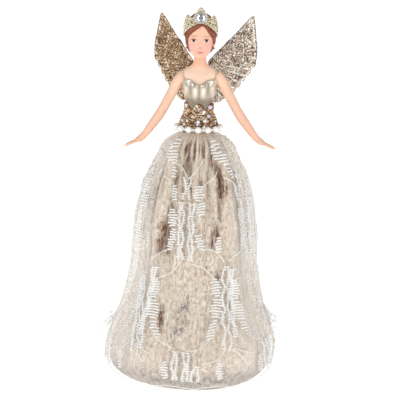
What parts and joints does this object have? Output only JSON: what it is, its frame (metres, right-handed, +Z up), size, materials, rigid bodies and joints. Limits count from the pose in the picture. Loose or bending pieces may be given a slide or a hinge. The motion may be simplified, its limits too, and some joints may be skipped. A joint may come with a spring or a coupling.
{
  "type": "fairy tree topper",
  "caption": "Winged fairy doll in a long gathered lace gown over a hollow card cone that drops over the tip of a tree.",
  "frame": {"origin": "on the floor, at the middle of the base ring", "axes": "+Z up the figure, -Y the way the figure faces, +X towards the figure's left hand"},
  "size_m": [0.1383, 0.1359, 0.3001],
  "materials": {
    "skin": "painted cast resin, satin skin tone with blushed cheeks",
    "hair": "painted cast resin, auburn with combed grooves",
    "bodice_paint": "champagne metallic paint, satin gloss",
    "tiara_glitter": "pale gold glitter over a stamped band",
    "gem": "clear faceted stone",
    "silver": "bright stamped cup",
    "pearl": "pearl lustre",
    "beads": "mixed bronze, copper, gold and lilac beads",
    "lace": "open net lace with stitched leaf runs",
    "gauze": "crinkled beige gauze",
    "netting": "stiff netting",
    "card": "plain card",
    "dowel_wood": "turned and unfinished",
    "steel_wire": "drawn wire",
    "wing_glitter": "coarse bronze and champagne glitter"
  },
  "bodies": {
    "figure": {"skirt_cone": "card", "base_ring": "card", "cone_plug": "dowel_wood", "body_dowel": "dowel_wood", "petticoat": "netting", "underskirt": "gauze", "lace_overskirt": "lace", "waist_tie": "lace", "belt_cord": "pearl", "bead_band": "beads", "trunk": "skin", "bodice": "bodice_paint", "strap_left": "bodice_paint", "strap_right": "bodice_paint", "arm_left": "skin", "arm_right": "skin", "head": "skin", "hair": "hair", "earring_left": "tiara_glitter", "earring_right": "tiara_glitter", "crown": "tiara_glitter", "crown_gem": "gem", "gem_setting": "silver", "wing_bracket": "silver", "wing_wire_left": "steel_wire", "wing_wire_right": "steel_wire", "pearl_01": "pearl", "pearl_02": "pearl", "pearl_03": "pearl", "pearl_04": "pearl", "pearl_05": "pearl", "pearl_06": "pearl", "pearl_07": "pearl", "pearl_08": "pearl", "pearl_09": "pearl", "pearl_10": "pearl", "pearl_11": "pearl", "pearl_12": "pearl", "pearl_13": "pearl", "pearl_14": "pearl"},
    "wing_left": {"wing_left": "wing_glitter"},
    "wing_right": {"wing_right": "wing_glitter"}
  },
  "joints": [
    {"name": "wing_left_swing", "type": "hinge", "parent": "figure", "child": "wing_left", "pos_m": [0.0034, 0.0143, 0.2393], "axis": [0, 0, 1], "range_deg": [-12, 30]},
    {"name": "wing_right_swing", "type": "hinge", "parent": "figure", "child": "wing_right", "pos_m": [-0.0034, 0.0143, 0.2393], "axis": [0, 0, 1], "range_deg": [-15, 27]}
  ]
}
